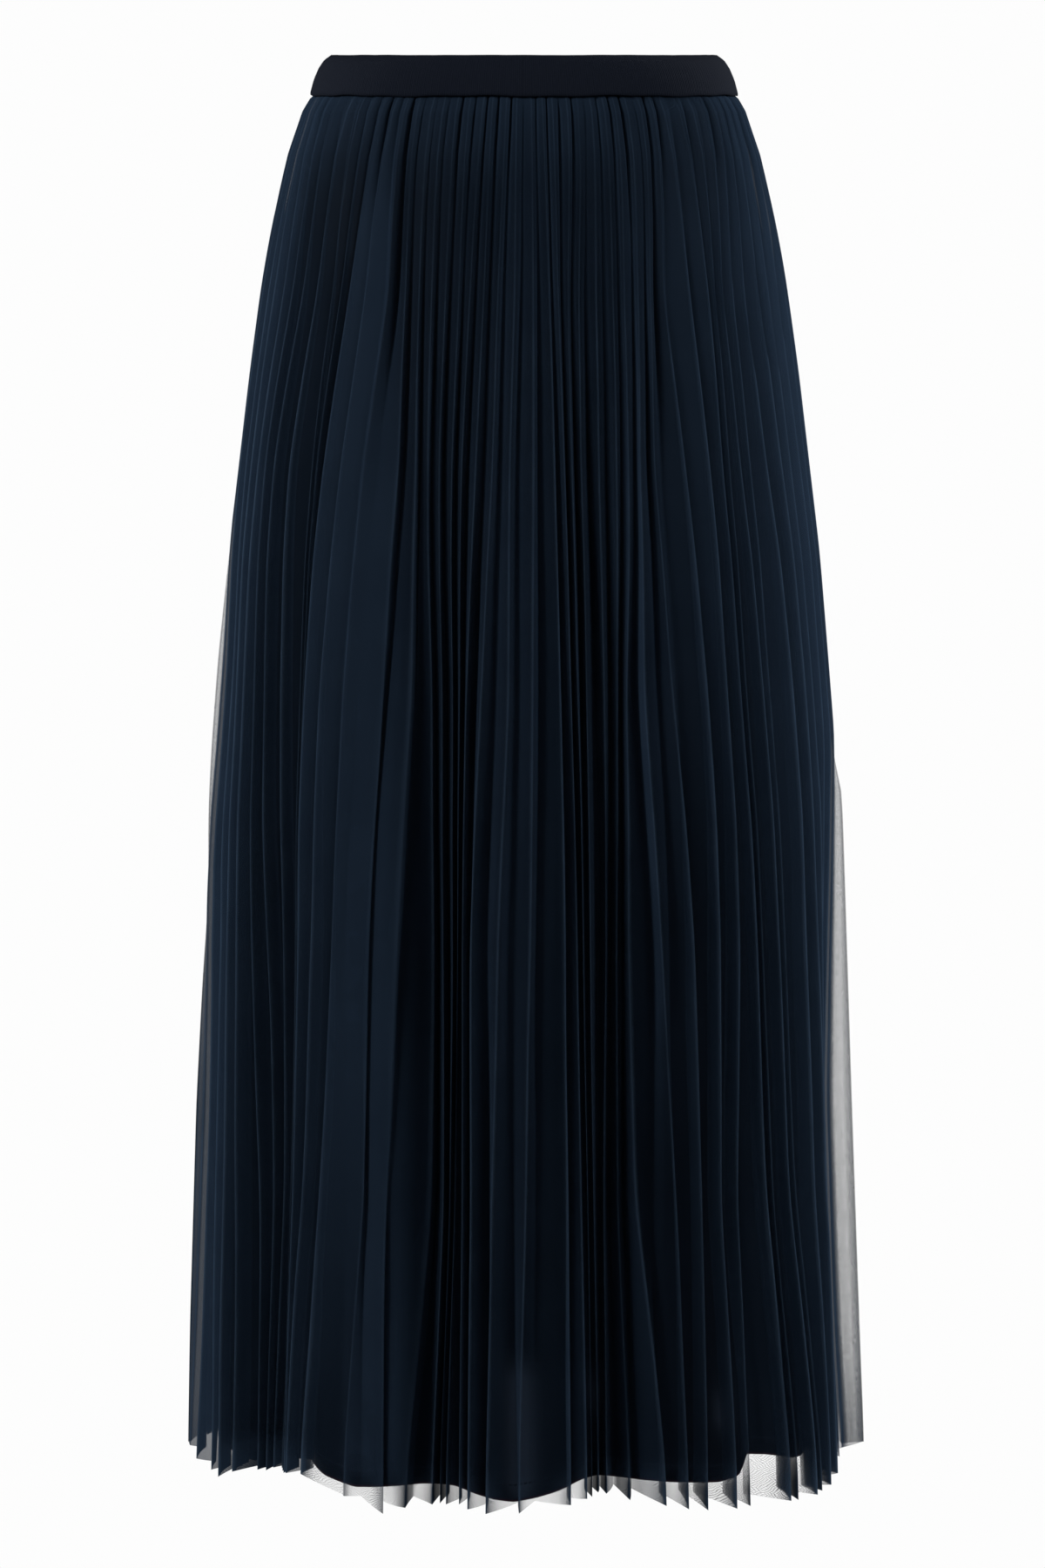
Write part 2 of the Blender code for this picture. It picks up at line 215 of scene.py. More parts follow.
# Where the outer creases lie, in degrees, at seven drops. pleat counts them from the panel's -X side. high,
# mid and low are the leans at three drops, -1 where the pleat is laid over to -X and 1 to +X.
Fold = namedtuple("Fold", "pleat high mid low waist hip seat thigh knee calf hem")
SEAM_DEGREES = 90.0
LEAN_DROPS = (0.037, 0.580, 0.918)
FOLD_DROPS = (0.037, 0.154, 0.265, 0.416, 0.580, 0.749, 0.918)
FRONT_FOLDS = table(
    Fold,
    (2, -1.0, -0.8, -0.6, -77.0, -74.0, -75.0, -73.0, -70.5, -69.0, -67.0),
    (5, -1.0, -0.8, -0.6, -63.8, -59.9, -63.5, -60.3, -58.4, -56.2, -55.2),
    (7, -1.0, -0.7, -0.5, -52.6, -50.5, -55.6, -54.7, -53.0, -51.0, -52.1),
    (8, -1.0, -0.6, -0.5, -47.7, -45.4, -48.1, -48.6, -48.5, -46.9, -49.5),
    (10, -0.8, -1.0, -1.0, -39.4, -40.5, -43.6, -45.5, -44.8, -44.5, -47.5),
    (12, -0.6, -0.4, -0.9, -32.3, -30.3, -33.9, -35.3, -36.0, -37.9, -40.8),
    (13, 0.6, 0.9, -0.2, -28.4, -25.9, -25.4, -27.0, -28.2, -28.5, -31.6),
    (14, 0.6, 0.9, 0.4, -24.5, -22.8, -21.8, -21.4, -22.9, -24.2, -24.1),
    (15, 0.6, 0.8, 1.0, -21.4, -20.0, -19.4, -18.0, -17.6, -17.7, -20.8),
    (16, 0.6, 0.5, 0.2, -17.6, -16.9, -17.2, -16.0, -15.8, -15.4, -17.0),
    (18, 0.5, 0.2, -0.7, -10.6, -11.6, -12.6, -12.4, -12.7, -13.1, -14.5),
    (19, 0.5, -0.2, -0.8, -8.1, -8.5, -9.6, -11.0, -11.8, -11.3, -11.6),
    (20, 0.5, -0.8, -0.8, -4.6, -5.6, -6.2, -7.9, -9.8, -9.5, -9.7),
    (21, 0.5, 0.5, -0.8, -2.0, -2.0, -2.7, -2.8, -4.6, -5.7, -6.3),
    (22, 0.3, 0.0, -0.3, 1.8, 2.0, 1.9, 1.6, 1.2, 0.1, -0.9),
    (23, 0.7, 0.9, 0.9, 4.6, 5.4, 6.0, 6.8, 7.3, 7.5, 7.8),
    (24, 0.5, 0.6, 0.8, 7.3, 7.2, 7.9, 8.7, 9.6, 10.3, 11.0),
    (26, 0.4, -0.4, -0.4, 14.0, 11.6, 11.4, 11.8, 12.5, 13.0, 13.5),
    (27, 0.4, -0.4, -0.4, 17.6, 15.4, 15.1, 15.6, 15.8, 15.1, 15.1),
    (28, -0.3, -0.4, 0.2, 20.9, 19.1, 18.7, 18.4, 17.9, 17.7, 19.3),
    (29, -0.3, -0.7, 0.7, 24.0, 21.6, 21.1, 19.9, 20.0, 20.8, 24.4),
    (30, -0.5, -0.6, 0.8, 27.4, 24.9, 23.3, 22.8, 25.0, 26.8, 28.2),
    (31, -0.8, 0.9, 1.0, 31.5, 27.8, 26.5, 28.3, 31.4, 31.9, 32.1),
    (32, 0.9, 1.0, 1.0, 35.2, 31.0, 33.7, 36.1, 37.0, 35.8, 37.9),
    (33, 0.9, 1.0, 1.0, 38.5, 38.3, 39.6, 40.6, 41.2, 39.4, 41.3),
    (34, 1.0, 1.0, 1.0, 44.2, 43.3, 42.9, 43.7, 45.3, 46.6, 51.4),
    (35, 1.0, 1.0, 1.0, 49.3, 45.3, 44.8, 45.3, 46.7, 48.0, 52.8),
    (36, 1.0, 1.0, 1.0, 54.5, 47.6, 47.9, 49.9, 51.4, 52.8, 58.8),
    (37, 1.0, 1.0, 1.0, 58.9, 51.0, 50.9, 52.3, 53.2, 54.5, 60.3),
    (38, 1.0, 1.0, 1.0, 63.3, 54.9, 56.9, 60.7, 60.9, 60.7, 63.6),
    (41, 1.0, 1.0, 1.0, 77.0, 72.0, 73.0, 73.5, 73.5, 74.0, 75.0),
)
BACK_FOLDS = table(
    Fold,
    (4, -1.0, -1.0, -1.0, -66.0, -64.5, -63.4, -62.5, -61.0, -60.4, -60.0),
    (8, -1.0, -1.0, -0.9, -48.0, -45.5, -45.9, -47.0, -49.0, -49.8, -50.0),
    (11, -0.7, -0.9, -0.6, -37.0, -34.0, -33.2, -33.0, -32.5, -33.8, -35.5),
    (14, -0.5, 0.6, 0.8, -25.0, -24.5, -25.1, -25.5, -26.5, -25.6, -24.0),
    (17, 0.6, 0.9, 0.9, -15.5, -14.5, -14.8, -15.5, -17.0, -17.8, -18.0),
    (20, 0.5, 0.3, -0.6, -5.5, -5.0, -5.6, -6.5, -8.5, -9.5, -10.0),
    (22, 0.3, -0.7, -0.8, 2.0, 2.5, 2.2, 1.5, 0.0, -0.9, -1.5),
    (25, 0.6, -0.4, 0.7, 11.5, 11.0, 10.9, 10.5, 9.0, 9.2, 10.0),
    (28, -0.3, 0.6, 0.9, 21.5, 20.0, 18.9, 18.0, 17.5, 18.1, 19.0),
    (31, 0.7, 0.9, 0.4, 32.0, 30.0, 29.8, 30.0, 31.5, 31.6, 31.0),
    (34, 1.0, 1.0, 1.0, 43.0, 42.0, 41.4, 41.0, 40.5, 41.5, 43.0),
    (38, 1.0, 1.0, 1.0, 61.0, 59.0, 59.2, 60.0, 61.5, 62.9, 64.0),
)

# How far a pleat is laid over: at 0.5 its inner crease lies right under the outer one. round is 1 where the
# pleats are soft gathers with narrow gaps and 0 where they are pressed.
Lay = namedtuple("Lay", "drop share round")
LAYS = table(
    Lay,
    (0.0262, 0.10, 1.0),
    (0.0600, 0.28, 1.0),
    (0.1500, 0.45, 0.7),
    (0.3000, 0.58, 0.3),
    (0.5800, 0.66, 0.15),
    (0.9400, 0.72, 0.1),
)
LEAN_SWING = 0.2  # unevenness of the leans
VALLEY_ROOM = 0.0012  # how much deeper than a pleat pressed shut an inner crease may lie
VALLEY_SHARE = 0.3  # and the most of that as a share of the face

# Unevenness of the pleats.
CREASE_SHIFT = 0.18  # of the pleats between two rows, as a share of the way to the next
CREASE_WANDER = 0.035  # of every pleat down its length
FREE_WANDER = 0.05  # and of those between two rows besides
DEPTH_MEAN = 0.93
DEPTH_SWING = 0.07
SINK_SWING = 0.0010  # of the outer creases, inwards
SINK_FADE = (0.05, 0.30)  # drops over which that takes effect
CRINKLE_TOP = 0.00080  # of the faces near the band
CRINKLE_LOW = 0.00012  # and lower down
CRINKLE_FADE = (0.05, 0.25)
CRINKLE_WAVE = 0.12
NOISE_WAVE = 0.35  # length of its waves
NOISE_TERMS = 4  # shorter and shorter waves that are added up
NOISE_STRENGTHS = (0.4, 1.0)
NOISE_SCALE = 1.6

# Values listed at a few drops are smoothed with a bell of these widths.
EASE_FROM, EASE_TO, EASE_STEP = -0.06, 1.05, 0.001
EASE_STEPS = 60  # of the bell's window, each way
SECTION_EASE = 0.012
FOLD_EASE = 0.016
STRETCH_EASE = 0.03
LEAN_EASE = 0.05

CREASE_SHARE = 0.08  # of a face, how far the pressed edge's painted highlight and extra cover reach from an outer crease
CREASE_COVER = 0.35  # how much more of the view that edge closes
TOP_HIGHLIGHT_AND_COVER = 0.45  # how strong that edge's painted highlight and extra cover are under the band, as a share of lower down
HIGHLIGHT_AND_COVER_FADE = (0.06, 0.22)  # drops over which the painted highlight grows bright
FOLD_SHARE = 0.30  # of a face, how far the folded plies at an outer crease reach, below the lining's hem
HEM_FOLD_PLIES = 2.4  # and how many plies more they are
HEM_FOLD_RANGE = (4.0, 3.0)  # none where so many hang already, and all where this many fewer do

# The points across each face of a pleat, from its outer crease to its inner one, and the rows down it.
FACE_POINTS = (0.0, 0.05, 0.15, 0.33, 0.55, 0.76, 0.91, 1.0)
PRESSED_CURVE = 0.10  # how much a pressed face is hollow between its creases
TOP_ROW_STEP = 0.0028
TOP_ROWS_END = 0.0700
LOW_ROWS = 92
LAST_ROW = 0.9400  # drop of the lowest row, before the hem is shaped
SHAPED_FROM = 0.80  # drop where the shaping of the hems starts
EDGE_SPREADS = {"tip": (-0.0015, 0.0015), "notch": (-0.001, 0.002)}  # unevenness of the net's hem

# At each side seam one fold reaches from the last crease to the seam. The front panel laps under the back.
SEAM_POINTS = (0.3, 0.65)  # the columns between the crease and the seam
SEAM_HIGHLIGHTS_AND_COVER = (0.7, 0.0, 0.1)  # how strong the pressed edge's painted highlight and extra cover are, from the seam inwards
SEAM_STEPS = (0.006, 0.012, 0.018)  # of cloth on the UV map
SEAM_BULGE = 0.0012
SEAM_LAP = 0.0010
SEAM_GAP = 0.0002
SEAM_INSET = 0.4  # how far inside the lap lies, as a share of it
SEAM_FULL = 0.005  # the seam is at the full width where the fold stands out so far
COVER_FULL = 0.004  # and has the covers of the table where it stands out so far

# Drop of the net's hem at the outer creases (tip) and at the inner ones (notch), and how many plies hang
# below the lining's hem between the folds.
Edge = namedtuple("Edge", "degrees tip notch plies")
FRONT_EDGE = table(
    Edge,
    (-90.0, 0.9310, 0.9250, 4.0),
    (-72.0, 0.9345, 0.9275, 4.0),
    (-64.0, 0.9395, 0.9325, 3.6),
    (-56.0, 0.9335, 0.9285, 3.4),
    (-50.0, 0.9305, 0.9265, 3.4),
    (-41.5, 0.9300, 0.9265, 3.0),
    (-39.5, 0.9290, 0.9260, 1.0),
    (-38.3, 0.9400, 0.9375, 0.7),
    (-29.0, 0.9410, 0.9385, 0.8),
    (-23.3, 0.9492, 0.9405, 1.0),
    (-18.0, 0.9455, 0.9390, 1.8),
    (-12.0, 0.9445, 0.9395, 1.8),
    (-6.0, 0.9462, 0.9405, 1.2),
    (-2.0, 0.9465, 0.9410, 0.9),
    (8.0, 0.9415, 0.9365, 0.9),
    (15.0, 0.9370, 0.9335, 2.0),
    (21.0, 0.9440, 0.9370, 1.2),
    (26.0, 0.9455, 0.9370, 1.0),
    (30.0, 0.9485, 0.9380, 1.0),
    (33.0, 0.9505, 0.9395, 1.0),
    (45.0, 0.9510, 0.9425, 0.8),
    (60.0, 0.9500, 0.9435, 0.9),
    (66.0, 0.9420, 0.9370, 1.8),
    (72.0, 0.9365, 0.9315, 2.4),
    (86.0, 0.9340, 0.9295, 1.6),
    (90.0, 0.9310, 0.9290, 1.2),
)
BACK_EDGE = table(
    Edge,
    (-90.0, 0.9310, 0.9250, 4.0),
    (-70.0, 0.9380, 0.9310, 2.4),
    (-48.0, 0.9470, 0.9370, 1.0),
    (-33.0, 0.9410, 0.9360, 0.9),
    (-20.0, 0.9450, 0.9370, 0.9),
    (-5.0, 0.9395, 0.9350, 1.6),
    (8.0, 0.9465, 0.9385, 0.9),
    (24.0, 0.9420, 0.9370, 1.0),
    (40.0, 0.9475, 0.9385, 0.9),
    (60.0, 0.9400, 0.9330, 1.4),
    (76.0, 0.9390, 0.9320, 1.8),
    (90.0, 0.9310, 0.9290, 1.2),
)

# Drop of the lining's hem.
Hem = namedtuple("Hem", "degrees drop")
FRONT_LINING_HEM = table(
    Hem,
    (-90.0, 0.9230),
    (-62.0, 0.9310),
    (-51.0, 0.9270),
    (-45.0, 0.9250),
    (-39.6, 0.9320),
    (-32.3, 0.9375),
    (-20.9, 0.9353),
    (-13.8, 0.9375),
    (-5.2, 0.9422),
    (-2.0, 0.9432),
    (1.9, 0.9406),
    (6.1, 0.9369),
    (10.8, 0.9315),
    (14.7, 0.9300),
    (27.4, 0.9335),
    (38.0, 0.9362),
    (42.9, 0.9338),
    (44.0, 0.9295),
    (44.8, 0.9195),
    (50.3, 0.9218),
    (60.0, 0.9280),
    (63.5, 0.9285),
    (66.0, 0.9240),
    (90.0, 0.9200),
)
BACK_LINING_HEM = table(
    Hem,
    (-90.0, 0.9230),
    (-55.0, 0.9290),
    (-30.0, 0.9350),
    (-8.0, 0.9325),
    (18.0, 0.9370),
    (42.0, 0.9315),
    (70.0, 0.9255),
    (90.0, 0.9200),
)

# Faint upright sheens painted into the satin's colour near its hem, with the drops over which each starts
# and ends.
Glint = namedtuple("Glint", "degrees spread top end strength")
GLINT_START_EASE = 0.012
GLINT_END_EASE = 0.008
FRONT_GLINTS = table(
    Glint,
    (-0.8, 2.4, 0.855, 0.940, 1.30),
    (13.5, 2.2, 0.862, 0.886, 0.35),
    (39.5, 2.2, 0.878, 0.902, 0.40),
)
BACK_GLINTS = table(
    Glint,
    (-22.0, 2.6, 0.850, 0.925, 0.60),
    (16.0, 2.4, 0.870, 0.915, 0.40),
)

# The waistband's outer face. It rolls in at its top edge.
Ring = namedtuple("Ring", "drop half_width front_depth back_depth")
BAND_RINGS = table(
    Ring,
    (0.0000, 0.1280, 0.0850, 0.0920),
    (0.0034, 0.1326, 0.0890, 0.0960),
    (0.0085, 0.1360, 0.0918, 0.0988),
    (0.0165, 0.1394, 0.0946, 0.1016),
    (BAND_HEIGHT, 0.1424, 0.0966, 0.1036),
)
BAND_WALL = 0.0020
BAND_COLUMNS = 640
BAND_SPANS = ((0.0, 0.004, 4), (0.006, 0.0235, 7), (0.0245, BAND_HEIGHT, 4))  # rows: from, to, count
BAND_RADIUS = 0.1226  # of a circle as long as the ring, for the UV map
BAND_WAVES = ((0.00035, 9, 0.6), (0.00025, 23, 1.9))  # unevenness: height, waves in a turn, phase
BAND_WAVE_TOP = 0.25  # how much of that its top edge has
BAND_RIB = 0.00010
BAND_ROLL = 0.004  # drop where the ribs are full
BAND_SWELL = 0.0003
BAND_TUCK = 0.0005  # how far its lower edge turns in
BAND_TUCK_FROM = 0.0245

LINING_WALL = 0.0005
LINING_LAP = 0.006  # in radians, how far the front panel reaches under the back one
LINING_COLUMNS = 193
LINING_ROWS = 84
LINING_TOP = 0.0190
LINING_NEXT = 0.0275  # drop of its second row, where it leaves the band
LINING_RADIUS = 0.19  # for the UV map
LINING_INSET = 0.0005  # how much further in than the solids' own room for the pleats
TUCK_WIDTH = 0.1386  # half width and depths of the lining's top edge, inside the band
TUCK_DEPTHS = {-1: 0.0923, 1: 0.0993}
LINING_DRAPE = 1.15  # how much further the drapes pull the lining in
LINING_DRAPE_POWER = 2.0
LINING_DRAPE_WIDEN = 1.3
LINING_WAVES = range(3, 9)  # soft waves round each panel
LINING_SWING = 0.0011  # their depth
LINING_STRENGTHS = (0.3, 1.0)
LINING_TWIST = 2.2
LINING_WAVE_FROM = 0.15
LINING_WAVE_FADE = 0.7

# The net. Its cover is the share of the view that its threads close.
ONE_PLY_COVER = 0.37
STEEPEST = 0.25  # least that a face turns to the outside, for its cover
BARE_RANGE = (0.912, 0.936)  # drops over which the lining ends behind the net
NET_CELL = 0.0013  # across one mesh
NET_WOBBLE = 0.0012
NET_WAVE = (0.0016, 90.0, 37.0)  # bend of the rows of meshes: depth, and turns across and down
NET_PITCH = 0.05  # from one outer crease to the next on the UV map
NET_THREAD = (0.0101, 0.0176, 0.0304)
# Painted highlight: the brighter thread colour along the outer creases.
NET_CREASE_HIGHLIGHT = (0.0225, 0.0370, 0.0590)
NET_SHADE = (0.0067, 0.0120, 0.0213)
SATIN_YARNS = (0.0009, 0.0007)  # width of a yarn across and down
SATIN_HEM = 0.011  # height of the hem's row of stitches over its edge
SATIN_STITCH_HALF = 0.0006  # half the height of a stitch
SATIN_STITCH_PITCH = 0.003
SATIN_EDGE_WIDTH = 0.0014
SATIN_DARK = (0.0012, 0.0019, 0.0034)
SATIN_LIGHT = (0.0022, 0.0034, 0.0060)
SATIN_GLINT = (0.0260, 0.0360, 0.0560)
SATIN_STITCH = (0.0060, 0.0085, 0.0140)
SATIN_EDGE = (0.0260, 0.0085, 0.0130)
BAND_RIB_PITCH = 0.0012
BAND_STITCH_PITCH = 0.0011
BAND_SEAM_RANGE = (0.0246, 0.0262)  # drops over which the net's seam darkens the band
BAND_DARK = (0.0031, 0.0041, 0.0070)
BAND_LIGHT = (0.0072, 0.0092, 0.0151)
BAND_SEAM = (0.0022, 0.0029, 0.0050)

# The studio.
WHITE = 0.982  # brightness of the ground and the air behind the skirt
AMBIENT = 0.11
FLOOR_Z = -1.15
FLOOR_REACH = 60.0
FLOOR_GREY = 0.35
CAMERA_DISTANCE = 5.5
CAMERA_SIDE = -0.0011
CAMERA_TILT = 5.05
SENSOR = 24.0
CLIP_END = 200.0
VIEW_HEIGHT = 1.0494  # of the picture, at the skirt
Light = namedtuple("Light", "name place size power aim")
LIGHTS = table(
    Light,
    ("key", (-2.05, -1.25, 0.80), 0.9, 74.0, -0.25),
    ("right", (2.20, -0.76, 0.65), 0.9, 56.0, -0.30),
    ("back_right", (2.05, 1.25, 0.90), 0.9, 68.0, -0.20),
    ("back_left", (-2.20, 1.10, 0.75), 0.9, 40.0, -0.25),
)


def height(drop):
    return BAND_HEIGHT / 2 - drop


def column(rows, name):
    return np.array([getattr(row, name) for row in rows], float)


def smooth_share(value, low, high):
    share = np.clip((value - low) / (high - low), 0.0, 1.0)
    return share * share * (3 - 2 * share)


def eased(drops, levels, values, spread):
    """Values listed at these levels, at these drops, with their corners rounded."""
    fine = np.arange(EASE_FROM, EASE_TO, EASE_STEP)
    kernel = np.exp(-0.5 * (np.arange(-EASE_STEPS, EASE_STEPS + 1) * EASE_STEP / spread) ** 2)
    listed = np.pad(np.interp(fine, levels, values), EASE_STEPS, mode="edge")
    return np.interp(drops, fine, np.convolve(listed, kernel / kernel.sum(), mode="valid"))


def section_value(drops, name):
    """A size of the skirt: sharp where it puffs out below the band, rounded further down."""
    levels, values = column(SECTIONS, "drop"), column(SECTIONS, name)
    exact = np.interp(drops, levels, values)
    low = np.clip((drops - PUFF_END) / PUFF_FADE, 0, 1)
    return exact + low * (eased(drops, levels, values, SECTION_EASE) - exact)


def flank_value(drops, name):
    return eased(drops, column(FLANKS, "drop"), column(FLANKS, name), SECTION_EASE)


def drape_pull(drops, side, angles, power=DRAPE_POWER, widen=1.0):
    """How far the long drapes pull the cloth in."""
    degrees = np.degrees(angles)
    pull = sum(
        row.depth * np.exp(-(np.abs((degrees - row.degrees) / row.spread / widen) ** power))
        for row in (FRONT_DRAPES if side < 0 else BACK_DRAPES)
    )
    return pull * smooth_share(drops, *DRAPE_RANGE)


def skirt_points(side, angles, inset, drops, levels, pull=None):
    """Points inset from the draped shape. drops shape the skirt, and levels are the points' own drops."""
    half_width = section_value(drops, "half_width")
    depth = section_value(drops, "front_depth" if side < 0 else "back_depth")
    if pull is None:
        pull = drape_pull(drops, side, angles)
    out_x, out_y = depth * np.sin(angles), side * half_width * np.cos(angles)
    length = np.hypot(out_x, out_y)
    return np.stack(
        [
            (half_width - pull) * np.sin(angles) - inset * out_x / length,
            side * (depth - pull) * np.cos(angles) - inset * out_y / length,
            height(levels),
        ],
        axis=-1,
    )


def slow_noise(draw, drops, count, wave=NOISE_WAVE, terms=NOISE_TERMS):
    """For each of count pleats, a smooth curve down the drops between about -1 and 1."""
    total = np.zeros((len(drops), count))
    for term in range(1, terms + 1):
        phase = np.array([draw.uniform(0, math.tau) for _ in range(count)])
        strength = np.array([draw.uniform(*NOISE_STRENGTHS) for _ in range(count)])
        total += strength * np.sin(math.tau * term * drops[:, None] / wave / 2 + phase) / term
    return total / NOISE_SCALE


# The pleated net.


def net_rows():
    top = np.arange(SECTIONS[0].drop, TOP_ROWS_END, TOP_ROW_STEP)
    return np.append(top, np.linspace(TOP_ROWS_END, LAST_ROW, LOW_ROWS))


def shape_drops_of(drops, columns):
    """The drops that shape each column, none below the last section."""
    return np.broadcast_to(np.minimum(drops, SECTIONS[-1].drop)[:, None], (len(drops), columns))


def hem_share(drops):
    """How far a row takes part in the shaping of the hem."""
    return np.clip((drops - SHAPED_FROM) / (drops[-1] - SHAPED_FROM), 0, 1) ** 2


def crease_table(folds, drops, draw, gathers):
    """(angles in radians, leans) of a panel's outer creases at these drops."""
    pleats = np.array([-0.5] + [fold.pleat for fold in folds] + [PLEATS - 0.5])
    seam = np.full(len(drops), SEAM_DEGREES)
    listed = [eased(drops, FOLD_DROPS, fold[4:], FOLD_EASE) for fold in folds]
    known = np.stack([-seam] + listed + [seam], axis=1)
    every = np.arange(PLEATS)
    angles = np.stack([np.interp(every, pleats, row) for row in known])
    free = np.array([0.0 if pleat in pleats else 1.0 for pleat in every])
    steady = np.array([draw.uniform(-CREASE_SHIFT, CREASE_SHIFT) for _ in every])
    wander = slow_noise(draw, drops, PLEATS) * (CREASE_WANDER + FREE_WANDER * free)
    shifts = np.array([gathers.uniform(-GATHER_SHIFT, GATHER_SHIFT) for _ in every])
    shifts = (1 - smooth_share(drops, *SHIFT_FADE))[:, None] * shifts
    angles = angles + np.gradient(angles, axis=1) * (free * (steady + shifts) + wander)
    slants = np.stack([eased(drops, LEAN_DROPS, fold[1:4], LEAN_EASE) for fold in folds], axis=1)
    leans = np.stack([np.interp(every, column(folds, "pleat"), row) for row in slants])
    return np.radians(angles), leans


def flatness(stretches, drops):
    """How flat the pleats lie between each outer crease and the next, at these drops."""
    middles = np.arange(PLEATS - 1) + 0.5
    flat = np.zeros((len(drops), PLEATS - 1))
    for row in stretches:
        inside = (middles > row.first) & (middles < row.last)
        flat[:, inside] = eased(drops, STRETCH_DROPS, row[2:], STRETCH_EASE)[:, None]
    return flat * smooth_share(drops, *FLAT_FADE)[:, None]


def pleat_depths(creases, face, pinches, side, drops, draw, gathers):
    """How deep each pleat is: by the room between its creases, and by its pinches where it is a gather."""
    shape_drops = shape_drops_of(drops, PLEATS)
    tips = skirt_points(side, creases, 0.0, shape_drops, shape_drops)
    pitch = np.linalg.norm(np.diff(tips, axis=1), axis=2)
    rows = drops[:, None]
    top = 1 - smooth_share(rows, *GATHER_FADE)
    swing = GATHER_SWING * top * slow_noise(draw, drops, PLEATS - 1, wave=GATHER_WAVE, terms=2)
    depths = np.sqrt(np.maximum(0.0, face**2 - (pitch / 2) ** 2)) * (1 + swing + GATHER_SWELL * top)
    depths = np.clip(depths, SHALLOWEST * face, DEEPEST * face)
    shallow = np.array([gathers.random() ** GATHER_BIAS for _ in range(PLEATS - 1)])
    shallow = GATHER_SHALLOWEST + GATHER_SPAN * shallow
    middles = np.degrees(creases[:, :-1] + creases[:, 1:]) / 2
    pinched = sum(
        np.exp(-(((middles - row.degrees) / row.spread) ** 2))
        * (1 - smooth_share(rows, PINCH_HOLD * row.end, row.end))
        for row in pinches
    )
    depths = depths * (1 - top * (1 - np.clip(PINCH_STRENGTH * pinched, 0, 1)) * (1 - shallow))
    return depths * (DEPTH_MEAN + DEPTH_SWING * slow_noise(draw, drops, PLEATS - 1))


# The outer and inner creases of one panel: angles in radians, insets from the outer shape and drops of the
# hem. stands_out is how far the fold at each side seam does.
Pleats = namedtuple("Pleats", "face flat angles insets tips valleys valley_insets notches stands_out")


def pleat_lines(folds, stretches, pinches, edge, side, drops, draw, gathers):
    """Where the creases of one panel lie, and how deep."""
    rows = drops[:, None]
    creases, leans = crease_table(folds, drops, draw, gathers)
    face = section_value(drops, "face")[:, None]
    depths = pleat_depths(creases, face, pinches, side, drops, draw, gathers)
    around = np.concatenate([0.5 * face, depths, 0.5 * face], axis=1)
    sunk = SINK * np.maximum(0.0, DEEPEST * face - (around[:, :-1] + around[:, 1:]) / 2)
    flat = flatness(stretches, drops)
    depths = depths * (1 - FLAT_DEPTH * flat)
    sunk = sunk + SINK_SWING * (1 + slow_noise(draw, drops, PLEATS)) * smooth_share(rows, *SINK_FADE)

    # On the flanks the pleats sink towards the lining.
    stands_out = {sign: flank_value(drops, name)[:, None] for sign, name in SIDES}
    for sign, value in stands_out.items():
        share = smooth_share(sign * np.degrees(creases), FLANK_START, FLANK_FULL)
        sunk = np.maximum(sunk, share * value)

    lay = np.interp(drops, column(LAYS, "drop"), column(LAYS, "share"))[:, None] * (1 + FLAT_LAY * flat)
    lean = (leans[:, :-1] + leans[:, 1:]) / 2 * (1 + LEAN_SWING * slow_noise(draw, drops, PLEATS - 1))
    valleys = creases[:, :-1] + np.diff(creases, axis=1) * (0.5 - lay * lean)
    floor = DEEPEST * face + np.minimum(VALLEY_ROOM, VALLEY_SHARE * face)
    valley_insets = np.minimum((sunk[:, :-1] + sunk[:, 1:]) / 2 + depths, floor)
    tips = hem_levels(edge, "tip", creases[-1], draw)
    notches = hem_levels(edge, "notch", valleys[-1], draw)
    return Pleats(face, flat, creases, sunk, tips, valleys, valley_insets, notches, stands_out)


def hem_levels(edge, name, angles, draw):
    """Drops of the net's hem at its tips or its notches, a little uneven."""
    listed = np.interp(np.degrees(angles), column(edge, "degrees"), column(edge, name))
    return listed + np.array([draw.uniform(*EDGE_SPREADS[name]) for _ in angles])


